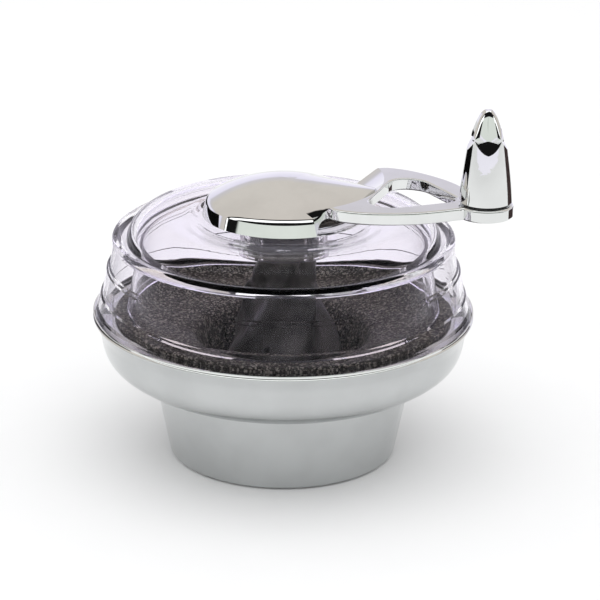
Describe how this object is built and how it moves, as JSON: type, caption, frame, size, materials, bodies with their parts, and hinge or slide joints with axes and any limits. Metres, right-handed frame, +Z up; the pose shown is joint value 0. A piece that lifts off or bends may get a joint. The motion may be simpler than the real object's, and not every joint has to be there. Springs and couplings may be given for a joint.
{
  "type": "crank nutcracker",
  "caption": "Table-top nutcracker: clear lid over a dark cracking bowl, turned by a chrome crank and knob, standing on a round catch cup.",
  "frame": {"origin": "centre of the foot pad's flat underside, on the crank's axis", "axes": "+Z up along the crank's axis, +X along the crank arm at rest"},
  "size_m": [0.1666, 0.1494, 0.1485],
  "materials": {
    "bright_chrome": "mirror chrome plate",
    "satin_chrome": "soft-polished chrome plate",
    "clear_lid": "clear, glossy",
    "grained_iron": "coarse dark grain",
    "dark_iron": "dark, smooth casting",
    "steel": "turned",
    "bronze": "oiled bronze",
    "black_plastic": "satin",
    "rubber": "matt"
  },
  "bodies": {
    "cup": {"foot_pad": "rubber", "catch_cup": "satin_chrome"},
    "bowl": {"base_bowl": "satin_chrome", "cup_seal": "rubber", "cracking_bowl": "grained_iron", "bowl_screws": "steel", "spider_bridge": "dark_iron", "lower_bush": "bronze", "lower_washer": "steel"},
    "lid": {"lid_shell": "clear_lid", "chamber_ring": "clear_lid", "lid_bush": "black_plastic", "lid_washer": "bronze"},
    "crank": {"crank_casting": "bright_chrome", "hub_pin": "steel", "drive_spindle": "steel", "cracking_rotor": "dark_iron", "rotor_pin": "steel", "spindle_clip": "steel", "knob_screw": "steel", "knob_washer": "black_plastic"},
    "knob": {"knob_sleeve": "bright_chrome", "knob_tip": "bright_chrome"}
  },
  "joints": [
    {"name": "bowl_lift", "type": "slide", "parent": "cup", "child": "bowl", "axis": [0, 0, 1], "range_m": [0, 0.045]},
    {"name": "lid_lift", "type": "slide", "parent": "bowl", "child": "lid", "axis": [0, 0, 1], "range_m": [0, 0.075]},
    {"name": "crank_turn", "type": "hinge", "parent": "lid", "child": "crank", "pos_m": [0, 0, 0.1], "axis": [0, 0, 1], "continuous": true},
    {"name": "knob_spin", "type": "hinge", "parent": "crank", "child": "knob", "pos_m": [0.0812, 0, 0.12], "axis": [0, 0, 1], "continuous": true}
  ]
}
